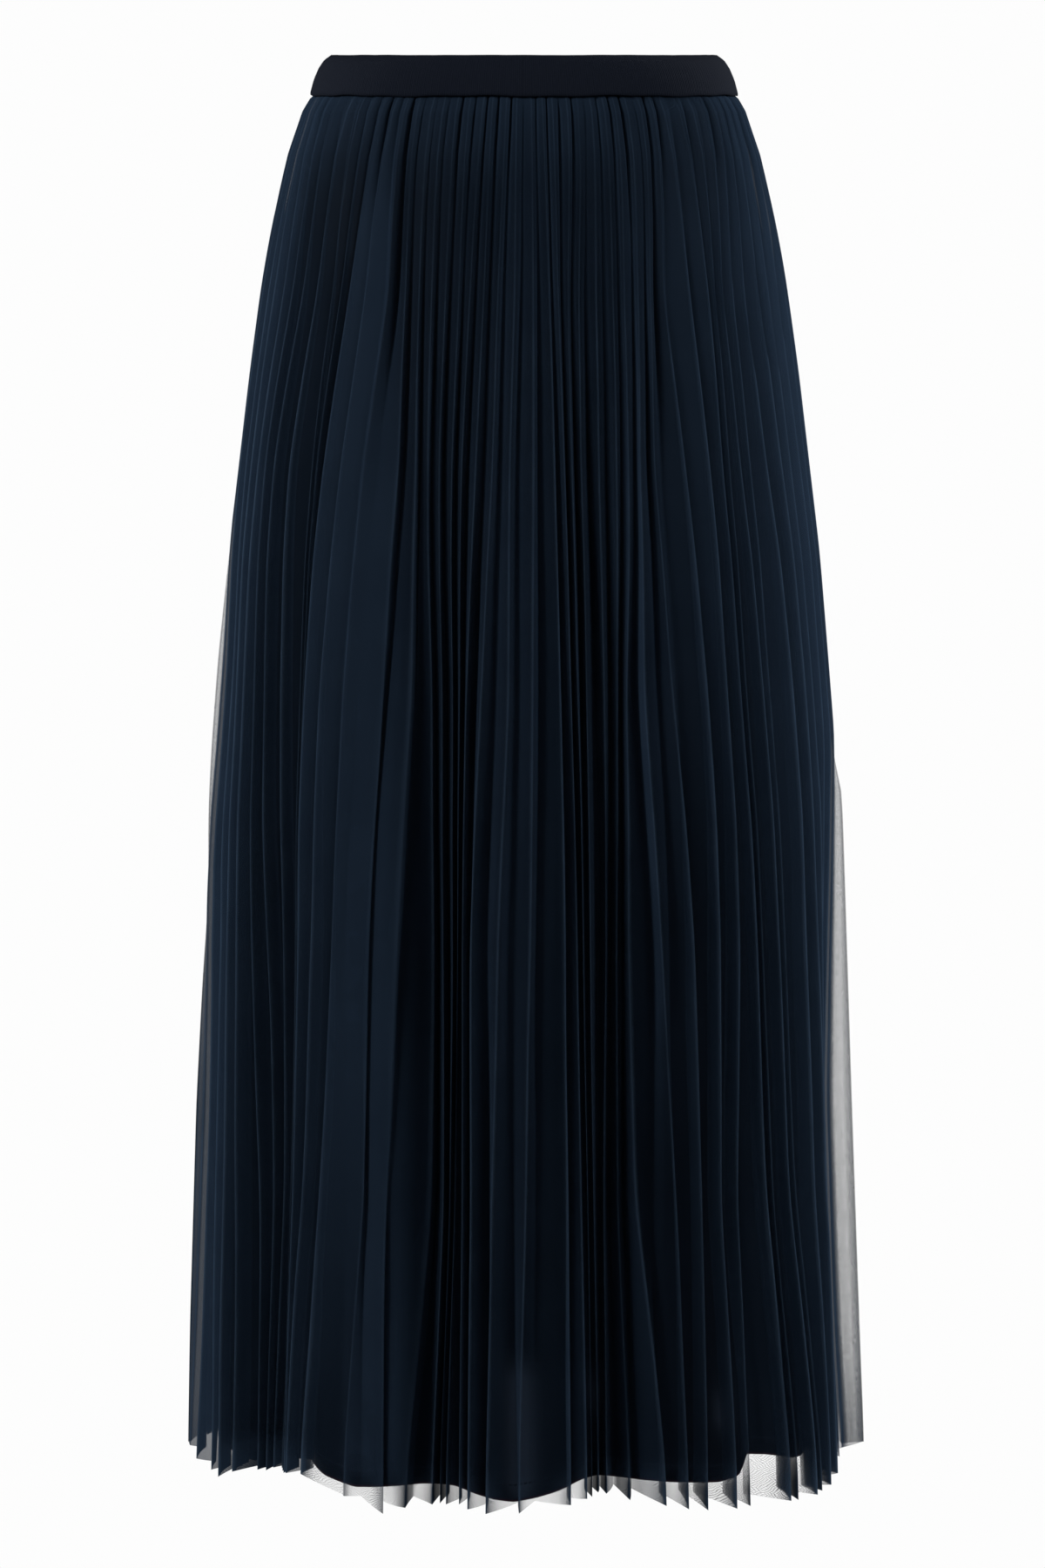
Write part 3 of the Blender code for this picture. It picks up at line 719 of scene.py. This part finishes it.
def net_columns(pleats, drops):
    """What each column of points over the faces has, in order round the panel, by name."""
    soft = np.interp(drops, column(LAYS, "drop"), column(LAYS, "round"))
    highlight_and_cover_scale = TOP_HIGHLIGHT_AND_COVER + (1 - TOP_HIGHLIGHT_AND_COVER) * smooth_share(drops, *HIGHLIGHT_AND_COVER_FADE)
    low = hem_share(drops)
    flat = pleats.flat
    beside = np.concatenate([flat[:, :1], np.maximum(flat[:, :-1], flat[:, 1:]), flat[:, -1:]], axis=1)
    found = {name: [] for name in ("angle", "inset", "level", "u", "highlight_and_cover", "plies", "folded")}

    def add_column(pleat, valley, share):
        """One column, this share of the way from an outer crease to the inner one before or after it."""
        gathered = share**GATHER_POWER
        pressed = share - PRESSED_CURVE * math.sin(math.pi * share)
        angle, inset, level = pleats.angles[:, pleat], pleats.insets[:, pleat], pleats.tips[pleat]
        level = level + (pleats.notches[valley] - level) * share
        near = flat[:, valley] if share else beside[:, pleat]
        # Painted highlight with extra cover: strongest at the outer crease, fainter where the pleats lie
        # flat and under the band.
        highlight_and_cover = math.exp(-((share / CREASE_SHARE) ** 2)) * (1 - FLAT_HIGHLIGHT_AND_COVER * np.clip(near, 0, 1)) * highlight_and_cover_scale
        found["angle"].append(angle + (pleats.valleys[:, valley] - angle) * share)
        found["inset"].append(
            inset + (pleats.valley_insets[:, valley] - inset) * (pressed + soft * (gathered - pressed))
        )
        found["level"].append(drops + low * (level - drops[-1]))
        found["u"].append(NET_PITCH * pleat + (1 if valley == pleat else -1) * share * pleats.face[:, 0])
        found["highlight_and_cover"].append(highlight_and_cover)
        found["plies"].append(1 + FLAT_PLIES * near)
        found["folded"].append(np.full(len(drops), math.exp(-((share / FOLD_SHARE) ** 2))))

    for pleat in range(PLEATS):
        if pleat > 0:
            for share in FACE_POINTS[-2:0:-1]:
                add_column(pleat, pleat - 1, share)
        if pleat + 1 < PLEATS:
            for share in FACE_POINTS:
                add_column(pleat, pleat, share)
        else:
            add_column(pleat, pleat - 1, FACE_POINTS[0])
    return {name: np.stack(values, axis=1) for name, values in found.items()}


def seam_fold(base, pleats, seam_level, side, sign, drops):
    """Three columns of points from a panel's last crease to its side seam, where one fold stands out."""
    half_width = section_value(np.minimum(drops, SECTIONS[-1].drop), "half_width")
    hidden = 0.5 * pleats.face[:, 0] * (1 - np.clip(pleats.stands_out[sign][:, 0] / SEAM_FULL, 0, 1))
    lap = SEAM_LAP if side < 0 else 0.0
    seam_x = sign * (half_width - hidden - SEAM_INSET * lap)
    seam_z = height(drops + hem_share(drops) * (seam_level - drops[-1]))
    seam = np.stack([seam_x, np.full(len(drops), SEAM_GAP + lap), seam_z], axis=1)
    bulge = np.array([0.0, side * SEAM_BULGE, 0.0])
    columns = [base + (seam - base) * share + bulge * math.sin(math.pi * share) for share in SEAM_POINTS]
    columns.append(seam)
    return np.stack(columns if sign > 0 else columns[::-1], axis=1)


def net_panel(name, folds, stretches, pinches, edge, side, seed, material):
    """Half of the pleated net skirt, as one single surface."""
    draw, gathers = random.Random(seed), random.Random(seed + GATHER_SEED)
    drops = net_rows()
    rows = drops[:, None]
    pleats = pleat_lines(folds, stretches, pinches, edge, side, drops, draw, gathers)
    found = net_columns(pleats, drops)
    angles = found["angle"]
    count = angles.shape[1]
    crinkle = blurred(slow_noise(draw, drops, count, wave=CRINKLE_WAVE, terms=3))
    crinkle_depth = CRINKLE_LOW + (CRINKLE_TOP - CRINKLE_LOW) * (1 - smooth_share(rows, *CRINKLE_FADE))
    inset = found["inset"] + crinkle * crinkle_depth
    grid = skirt_points(side, angles, inset, shape_drops_of(drops, count), found["level"])
    hem_degrees = column(edge, "degrees")
    parts = {}
    for sign, base in ((-1, grid[:, 0]), (1, grid[:, -1])):
        seam_level = np.interp(SEAM_DEGREES * sign, hem_degrees, column(edge, "tip"))
        parts[sign] = seam_fold(base, pleats, seam_level, side, sign, drops)
    grid = np.concatenate([parts[-1], grid, parts[1]], axis=1)

    steps = np.array(SEAM_STEPS)
    u = found["u"]
    u = np.concatenate([u[:, :1] - steps[::-1], u, u[:, -1:] + steps], axis=1)
    depth, across, down = NET_WAVE
    v = rows + depth * np.sin(u * across + rows * down)
    seam_highlights_and_cover = np.broadcast_to(SEAM_HIGHLIGHTS_AND_COVER, (len(drops), len(SEAM_HIGHLIGHTS_AND_COVER)))
    highlights_and_cover = np.concatenate([seam_highlights_and_cover, found["highlight_and_cover"], seam_highlights_and_cover[:, ::-1]], axis=1)

    degrees = np.degrees(angles)
    plies = found["plies"] + GATHER_PLIES * (1 - smooth_share(rows, SECTIONS[0].drop, GATHER_END))
    plies += FLANK_PLIES * smooth_share(np.abs(degrees), *FLANK_PLY_RANGE)
    hanging = np.interp(degrees, hem_degrees, column(edge, "plies"))
    most, fewer = HEM_FOLD_RANGE
    hanging += HEM_FOLD_PLIES * found["folded"] * np.clip((most - hanging) / fewer, 0, 1)
    plies += smooth_share(rows, *BARE_RANGE) * (hanging - plies)

    obj = grid_object(name, grid, side > 0, material, u, v)
    # Painted highlight and extra cover along the outer creases and the seams.
    add_attribute(obj, "crease", highlights_and_cover)
    add_attribute(obj, "cover", net_cover(grid, angles, plies, side, drops, pleats.stands_out))
    return obj


def blurred(values):
    """Values smoothed over each column and the ones beside it."""
    return (np.roll(values, 1, axis=1) + 2 * values + np.roll(values, -1, axis=1)) / 4


def net_cover(grid, angles, plies, side, drops, stands_out):
    """Share of the view that the threads close at each point: more where a face stands steep."""
    seam = len(SEAM_STEPS)
    normal = np.cross(np.gradient(grid, axis=1), np.gradient(grid, axis=0))
    normal /= np.linalg.norm(normal, axis=2, keepdims=True) + 1e-12
    turn = np.pad(angles, ((0, 0), (seam, seam)), mode="edge")
    outward = np.stack([np.sin(turn), side * np.cos(turn), np.zeros_like(turn)], axis=2)
    facing = blurred(np.clip(np.abs((normal * outward).sum(axis=2)), STEEPEST, 1.0))
    plies = np.pad(plies, ((0, 0), (seam, seam)), mode="edge")
    cover = 1 - (1 - ONE_PLY_COVER) ** (plies / facing)
    for sign, name in SIDES:
        columns = slice(0, seam) if sign < 0 else slice(-seam, None)
        out = np.clip(stands_out[sign] / COVER_FULL, 0, 1)
        cover[:, columns] += out * (flank_value(drops, name + "_cover")[:, None] - cover[:, columns])
    return cover


# Meshes.


def grid_object(name, grid, flipped, material, u, v, closed=False):
    """A mesh over rows and columns of points, smooth, with a UV map in metres of cloth."""
    rows, columns = grid.shape[:2]
    index = np.arange(rows * columns).reshape(rows, columns)
    left, right = index, np.roll(index, -1, axis=1)
    if not closed:
        left, right = left[:, :-1], right[:, :-1]
    quads = np.stack([left[:-1], left[1:], right[1:], right[:-1]], axis=-1).reshape(-1, 4)
    if flipped:
        quads = quads[:, ::-1]
    mesh = bpy.data.meshes.new(name)
    mesh.from_pydata(grid.reshape(-1, 3).tolist(), [], quads.tolist())
    mesh.shade_smooth()
    places = np.stack(np.broadcast_arrays(u, v), axis=-1)
    uv = mesh.uv_layers.new(name="cloth")
    uv.data.foreach_set("uv", places.reshape(-1, 2)[quads.reshape(-1)].astype(np.float32).reshape(-1))
    mesh.materials.append(material)
    obj = bpy.data.objects.new(name, mesh)
    bpy.context.scene.collection.objects.link(obj)
    return obj


def add_attribute(obj, name, values):
    layer = obj.data.attributes.new(name, "FLOAT", "POINT")
    layer.data.foreach_set("value", np.asarray(values, np.float32).reshape(-1))


def add_wall(obj, name, thickness, offset):
    shell = obj.modifiers.new(name, "SOLIDIFY")
    shell.thickness = thickness
    shell.offset = offset
    return shell


def glint_strength(glints, angles, levels):
    return sum(
        row.strength
        * np.exp(-(((np.degrees(angles) - row.degrees) / row.spread) ** 2))
        * smooth_share(levels, row.top - GLINT_START_EASE, row.top + GLINT_START_EASE)
        * (1 - smooth_share(levels, row.end - GLINT_END_EASE, row.end + GLINT_END_EASE))
        for row in glints
    )


def lining_panel(name, hem, glints, side, seed, material):
    """Half of the lining, which hangs inside the deepest pleats."""
    draw = random.Random(seed)
    drops = np.append(LINING_TOP, np.linspace(LINING_NEXT, LAST_ROW, LINING_ROWS))
    end = math.pi / 2 + (LINING_LAP if side < 0 else 0.0)
    turn = np.linspace(-end, end, LINING_COLUMNS)
    angles = np.broadcast_to(turn, (len(drops), len(turn)))
    shape_drops = np.broadcast_to(drops[:, None], angles.shape)
    inset = LINING_INSET + DEEPEST * section_value(drops, "face") + section_value(drops, "slack")
    inset = np.broadcast_to(inset[:, None], angles.shape).copy()
    level_at = np.interp(np.degrees(turn), column(hem, "degrees"), column(hem, "drop"))
    levels = shape_drops + hem_share(drops)[:, None] * (level_at - LAST_ROW)
    waving = np.clip((shape_drops - LINING_WAVE_FROM) / LINING_WAVE_FADE, 0, 1)
    for wave in LINING_WAVES:
        phase, strength = draw.uniform(0, math.tau), draw.uniform(*LINING_STRENGTHS)
        swing = np.sin(wave * 2 * turn + phase + LINING_TWIST * drops[:, None]) * np.cos(turn) ** 2
        inset += LINING_SWING * strength * (1 + swing) * waving
    pull = LINING_DRAPE * drape_pull(shape_drops, side, angles, LINING_DRAPE_POWER, LINING_DRAPE_WIDEN)
    grid = skirt_points(side, angles, inset, shape_drops, levels, pull)
    grid[0, :, 0] = TUCK_WIDTH * np.sin(turn)
    grid[0, :, 1] = side * TUCK_DEPTHS[side] * np.cos(turn)
    grid[0, :, 2] = height(LINING_TOP)
    obj = grid_object(name, grid, side > 0, material, LINING_RADIUS * angles, levels - level_at)
    add_attribute(obj, "glint", glint_strength(glints, angles, levels))
    add_wall(obj, "Cloth wall", LINING_WALL, 0.0)
    return obj


def waistband(name, material):
    """The knitted elastic ring, with a rolled top edge and fine ribs."""
    turn = np.linspace(0, math.tau, BAND_COLUMNS, endpoint=False)
    drops = np.concatenate([np.linspace(*span) for span in BAND_SPANS])
    lift = sum(depth * np.sin(turn * count + phase) for depth, count, phase in BAND_WAVES)
    rib = BAND_RIB * np.cos(turn * BAND_COLUMNS / 2)
    levels = column(BAND_RINGS, "drop")
    rings = []
    for drop in drops:
        half_width, front_depth, back_depth = (
            np.interp(drop, levels, column(BAND_RINGS, size)) for size in Ring._fields[1:]
        )
        depth = np.where(np.cos(turn) > 0, front_depth, back_depth)
        swell = BAND_SWELL * math.sin(math.pi * drop / BAND_HEIGHT)
        tuck = BAND_TUCK * max(0.0, (drop - BAND_TUCK_FROM) / (BAND_HEIGHT - BAND_TUCK_FROM)) ** 2
        out = rib * min(drop / BAND_ROLL, 1) + swell - tuck
        level = drop + lift * (BAND_WAVE_TOP + (1 - BAND_WAVE_TOP) * drop / BAND_HEIGHT)
        ring = [(half_width + out) * np.sin(turn), -(depth + out) * np.cos(turn), height(level)]
        rings.append(np.stack(ring, axis=1))
    u, v = turn[None, :] * BAND_RADIUS, drops[:, None]
    obj = grid_object(name, np.stack(rings), False, material, u, v, closed=True)
    add_wall(obj, "Elastic", BAND_WALL, -1.0).use_even_offset = True
    return obj


# Materials.


def new_material(name, roughness, specular):
    material = bpy.data.materials.new(name)
    material.use_nodes = True
    tree = material.node_tree
    shader = tree.nodes["Principled BSDF"]
    shader.inputs["Roughness"].default_value = roughness
    shader.inputs["Specular IOR Level"].default_value = specular
    return material, tree, shader


def math_node(tree, operation, first, second=0.0, clamp=False):
    node = tree.nodes.new("ShaderNodeMath")
    node.operation = operation
    node.use_clamp = clamp
    for socket, value in zip(node.inputs, (first, second)):
        if isinstance(value, (int, float)):
            socket.default_value = value
        else:
            tree.links.new(value, socket)
    return node.outputs[0]


def plus(tree, first, second):
    return math_node(tree, "ADD", first, second)


def times(tree, first, second):
    return math_node(tree, "MULTIPLY", first, second)


def sine(tree, value, turns):
    return math_node(tree, "SINE", times(tree, value, turns))


def colour_mix(tree, share, first, second):
    node = tree.nodes.new("ShaderNodeMix")
    node.data_type = "RGBA"
    tree.links.new(share, node.inputs["Factor"])
    for socket, value in ((node.inputs["A"], first), (node.inputs["B"], second)):
        if isinstance(value, tuple):
            socket.default_value = (*value, 1.0)
        else:
            tree.links.new(value, socket)
    return node.outputs["Result"]


def mapped_range(tree, value, low, high, new_low=0.0, new_high=1.0):
    node = tree.nodes.new("ShaderNodeMapRange")
    tree.links.new(value, node.inputs["Value"])
    for socket, number in zip(list(node.inputs)[1:5], (low, high, new_low, new_high)):
        socket.default_value = number
    return node.outputs["Result"]


def cloth_uv(tree):
    node = tree.nodes.new("ShaderNodeUVMap")
    node.uv_map = "cloth"
    split = tree.nodes.new("ShaderNodeSeparateXYZ")
    tree.links.new(node.outputs["UV"], split.inputs["Vector"])
    return node.outputs["UV"], split.outputs["X"], split.outputs["Y"]


def noise(tree, vector, scale, detail=2.0):
    node = tree.nodes.new("ShaderNodeTexNoise")
    node.inputs["Scale"].default_value = scale
    node.inputs["Detail"].default_value = detail
    tree.links.new(vector, node.inputs["Vector"])
    return node.outputs["Fac"]


def attribute(tree, name):
    node = tree.nodes.new("ShaderNodeAttribute")
    node.attribute_name = name
    return node.outputs["Fac"]


def add_bump(tree, shader, relief, strength, distance):
    bump = tree.nodes.new("ShaderNodeBump")
    bump.inputs["Strength"].default_value = strength
    bump.inputs["Distance"].default_value = distance
    tree.links.new(relief, bump.inputs["Height"])
    tree.links.new(bump.outputs["Normal"], shader.inputs["Normal"])


def net_material():
    """Soft net: navy threads in a diamond mesh, with open holes between them, and a painted highlight along
    the outer creases.
    """
    material, tree, shader = new_material("pleated_net", roughness=0.8, specular=0.0)
    uv, u, v = cloth_uv(tree)
    # The crease attribute carries a painted highlight along the outer creases, and the extra cover of the
    # plies folded there.
    crease, cover = attribute(tree, "crease"), attribute(tree, "cover")
    wobble = mapped_range(tree, noise(tree, uv, 160.0), 0.3, 0.7, -NET_WOBBLE, NET_WOBBLE)
    bent = plus(tree, u, wobble)
    threads = [
        math_node(tree, "ABSOLUTE", sine(tree, math_node(tree, operation, bent, v), math.pi / NET_CELL))
        for operation in ("ADD", "SUBTRACT")
    ]
    closeness = math_node(tree, "MINIMUM", *threads)
    swing = mapped_range(tree, closeness, 0.15, 0.55, 0.8, -0.8)
    room = math_node(tree, "MINIMUM", cover, math_node(tree, "SUBTRACT", 1.0, cover))
    alpha = plus(tree, cover, times(tree, swing, room))
    alpha = math_node(tree, "ADD", alpha, times(tree, crease, CREASE_COVER), clamp=True)
    tone = mapped_range(tree, noise(tree, uv, 22.0, 3.0), 0.35, 0.65, 0.0, 0.3)
    # Painted highlight: the thread colour turns brighter along the outer creases.
    colour = colour_mix(tree, crease, NET_THREAD, NET_CREASE_HIGHLIGHT)
    colour = colour_mix(tree, tone, colour, NET_SHADE)
    tree.links.new(colour, shader.inputs["Base Color"])
    tree.links.new(alpha, shader.inputs["Alpha"])
    return material


def lining_material():
    """Smooth woven satin, with a turned hem and its row of stitches."""
    material, tree, shader = new_material("satin_lining", roughness=0.5, specular=0.01)
    uv, u, v = cloth_uv(tree)
    yarns = [sine(tree, value, math.tau / width) for value, width in zip((u, v), SATIN_YARNS)]
    above = math_node(tree, "ABSOLUTE", plus(tree, v, SATIN_HEM))
    line = math_node(tree, "LESS_THAN", above, SATIN_STITCH_HALF)
    dash = sine(tree, u, math.tau / SATIN_STITCH_PITCH)
    stitch = times(tree, line, math_node(tree, "GREATER_THAN", dash, -0.4))
    edge = math_node(tree, "GREATER_THAN", v, -SATIN_EDGE_WIDTH)
    patch = mapped_range(tree, noise(tree, uv, 9.0, 3.0), 0.4, 0.65)
    colour = colour_mix(tree, patch, SATIN_DARK, SATIN_LIGHT)
    # Painted sheen: lighter upright strips on the satin near its hem.
    colour = colour_mix(tree, attribute(tree, "glint"), colour, SATIN_GLINT)
    colour = colour_mix(tree, stitch, colour, SATIN_STITCH)
    colour = colour_mix(tree, edge, colour, SATIN_EDGE)
    tree.links.new(colour, shader.inputs["Base Color"])
    relief = plus(tree, times(tree, times(tree, *yarns), 0.4), stitch)
    add_bump(tree, shader, relief, strength=0.25, distance=0.0002)
    return material


def band_material():
    """Matt knitted elastic with fine upright ribs, darker where the net is sewn to it."""
    material, tree, shader = new_material("knitted_elastic", roughness=0.85, specular=0.02)
    uv, u, v = cloth_uv(tree)
    rib = sine(tree, u, math.tau / BAND_RIB_PITCH)
    stitch = sine(tree, v, math.tau / BAND_STITCH_PITCH)
    crossed = times(tree, times(tree, rib, stitch), 0.4)
    knit = plus(tree, times(tree, rib, 0.6), crossed)
    fuzz = noise(tree, uv, 420.0, 3.0)
    share = mapped_range(tree, plus(tree, knit, fuzz), -0.8, 1.8)
    colour = colour_mix(tree, share, BAND_DARK, BAND_LIGHT)
    seam = mapped_range(tree, v, *BAND_SEAM_RANGE, 0.0, 0.45)
    colour = colour_mix(tree, seam, colour, BAND_SEAM)
    tree.links.new(colour, shader.inputs["Base Color"])
    add_bump(tree, shader, knit, strength=0.5, distance=0.0003)
    return material


# The studio.


def camera_ray(tree):
    return tree.nodes.new("ShaderNodeLightPath").outputs["Is Camera Ray"]


def white_world():
    world = bpy.data.worlds.new("studio")
    world.use_nodes = True
    tree = world.node_tree
    seen = mapped_range(tree, camera_ray(tree), 0.0, 1.0, AMBIENT, WHITE)
    background = tree.nodes["Background"]
    background.inputs["Color"].default_value = (1.0, 1.0, 1.0, 1.0)
    tree.links.new(seen, background.inputs["Strength"])
    return world


def pale_floor():
    """A wide floor that is as white as the air behind it, so that no horizon shows."""
    material, tree, shader = new_material("pale_floor", roughness=0.5, specular=0.0)
    shader.inputs["Base Color"].default_value = (FLOOR_GREY, FLOOR_GREY, FLOOR_GREY, 1.0)
    glow = tree.nodes.new("ShaderNodeEmission")
    glow.inputs["Strength"].default_value = WHITE
    mix = tree.nodes.new("ShaderNodeMixShader")
    tree.links.new(camera_ray(tree), mix.inputs["Fac"])
    tree.links.new(shader.outputs["BSDF"], mix.inputs[1])
    tree.links.new(glow.outputs["Emission"], mix.inputs[2])
    tree.links.new(mix.outputs["Shader"], tree.nodes["Material Output"].inputs["Surface"])
    material.cycles.emission_sampling = "NONE"
    far = FLOOR_REACH
    corners = [(x, y, FLOOR_Z) for x, y in ((-far, -far), (far, -far), (far, far), (-far, far))]
    mesh = bpy.data.meshes.new("floor")
    mesh.from_pydata(corners, [], [(0, 1, 2, 3)])
    mesh.materials.append(material)
    floor = bpy.data.objects.new("floor", mesh)
    bpy.context.scene.collection.objects.link(floor)


def add_lights(scene):
    for light in LIGHTS:
        towards = Vector((0.0, 0.0, light.aim)) - Vector(light.place)
        data = bpy.data.lights.new(light.name, "AREA")
        data.shape = "DISK"
        data.size = light.size
        data.energy = light.power
        lamp = bpy.data.objects.new(light.name, data)
        lamp.visible_camera = False
        lamp.location = light.place
        lamp.rotation_mode = "QUATERNION"
        lamp.rotation_quaternion = towards.to_track_quat("-Z", "Y")
        scene.collection.objects.link(lamp)


def add_camera(scene):
    tilt = math.radians(CAMERA_TILT)
    data = bpy.data.cameras.new("camera")
    data.sensor_fit = "VERTICAL"
    data.sensor_height = SENSOR
    data.lens = SENSOR * CAMERA_DISTANCE / math.cos(tilt) / VIEW_HEIGHT
    data.clip_end = CLIP_END
    camera = bpy.data.objects.new("camera", data)
    camera.location = (CAMERA_SIDE, -CAMERA_DISTANCE, height(0.0))
    camera.rotation_euler = (math.pi / 2 - tilt, 0.0, 0.0)
    scene.collection.objects.link(camera)
    scene.camera = camera


def studio():
    scene = bpy.context.scene
    scene.view_settings.view_transform = "Standard"
    scene.view_settings.look = "None"
    scene.world = white_world()
    pale_floor()
    add_lights(scene)
    add_camera(scene)


def main():
    band = waistband("elastic_band", band_material())
    net, satin = net_material(), lining_material()
    net_front = net_panel(
        "pleated_front", FRONT_FOLDS, FRONT_STRETCHES, FRONT_PINCHES, FRONT_EDGE, -1, 11, net
    )
    net_back = net_panel("pleated_back", BACK_FOLDS, BACK_STRETCHES, BACK_PINCHES, BACK_EDGE, 1, 12, net)
    satin_front = lining_panel("satin_front", FRONT_LINING_HEM, FRONT_GLINTS, -1, 21, satin)
    satin_back = lining_panel("satin_back", BACK_LINING_HEM, BACK_GLINTS, 1, 22, satin)

    for piece, node, slot in (
        (band, "waistband", "band"),
        (net_front, "net_front", "net"),
        (net_back, "net_back", "net"),
        (satin_front, "lining_front", "lining"),
        (satin_back, "lining_back", "lining"),
    ):
        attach(piece, "root")
        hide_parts(node)
    studio()


main()
